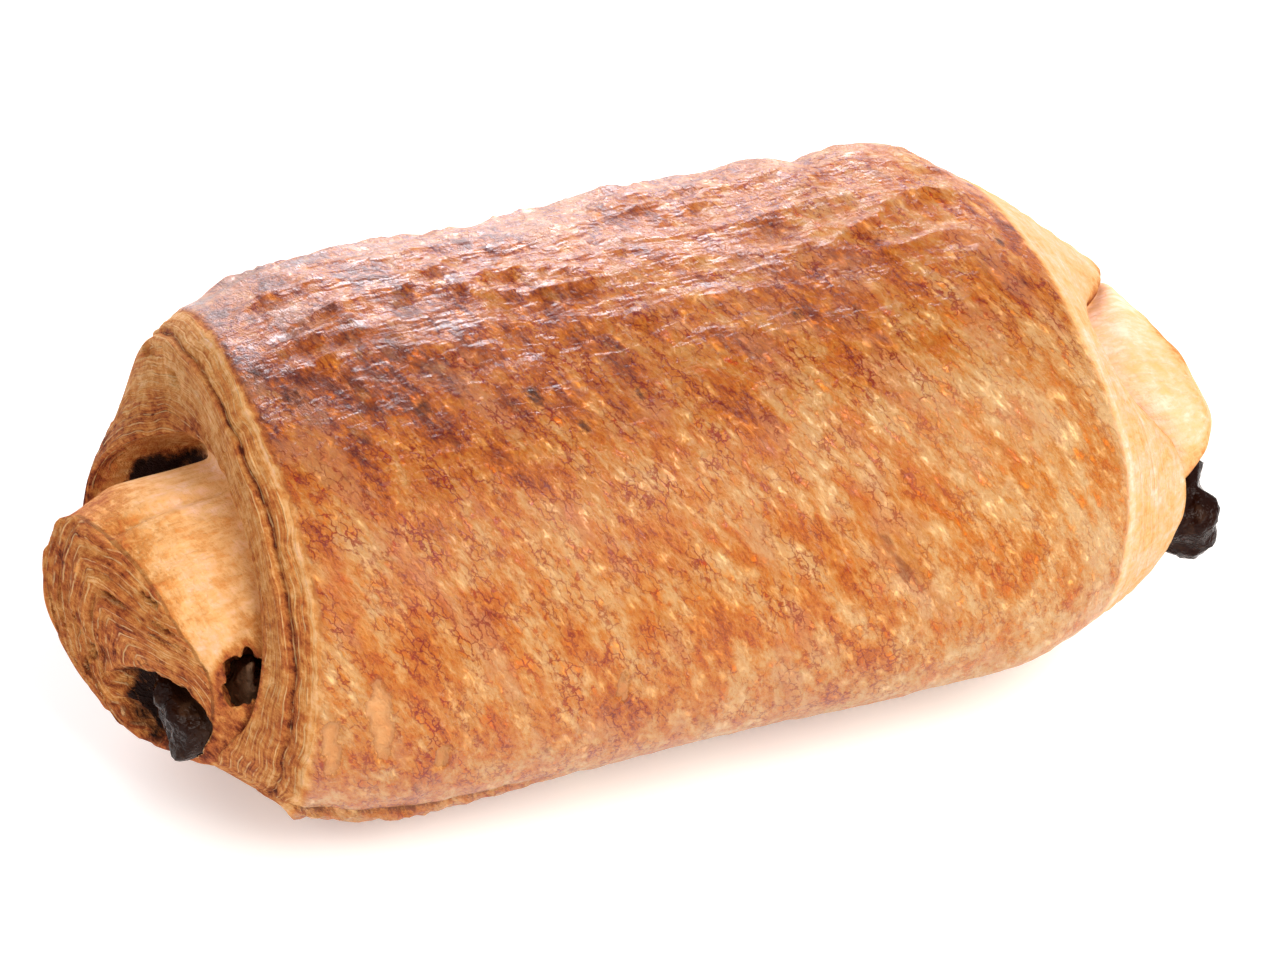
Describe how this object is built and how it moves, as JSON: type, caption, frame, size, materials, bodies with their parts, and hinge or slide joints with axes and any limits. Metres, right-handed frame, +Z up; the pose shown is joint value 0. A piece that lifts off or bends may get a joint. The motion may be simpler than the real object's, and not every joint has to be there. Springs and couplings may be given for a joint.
{
  "type": "pain au chocolat",
  "caption": "Baked roll of laminated dough with a glossy browned crust, layered ends and dark chocolate sticks running through it.",
  "frame": {"origin": "middle of the flat base that the roll rests on", "axes": "+X along the roll, away from the end with the browned inner roll; +Z up; -Y is the side whose crust faces the viewer"},
  "size_m": [0.125, 0.065, 0.05],
  "materials": {
    "pastry": "satin",
    "chocolate": "gloss"
  },
  "bodies": {
    "root": {"pastry": "pastry", "chocolate_stick_front": "chocolate", "chocolate_stick_back": "chocolate"}
  },
  "joints": []
}
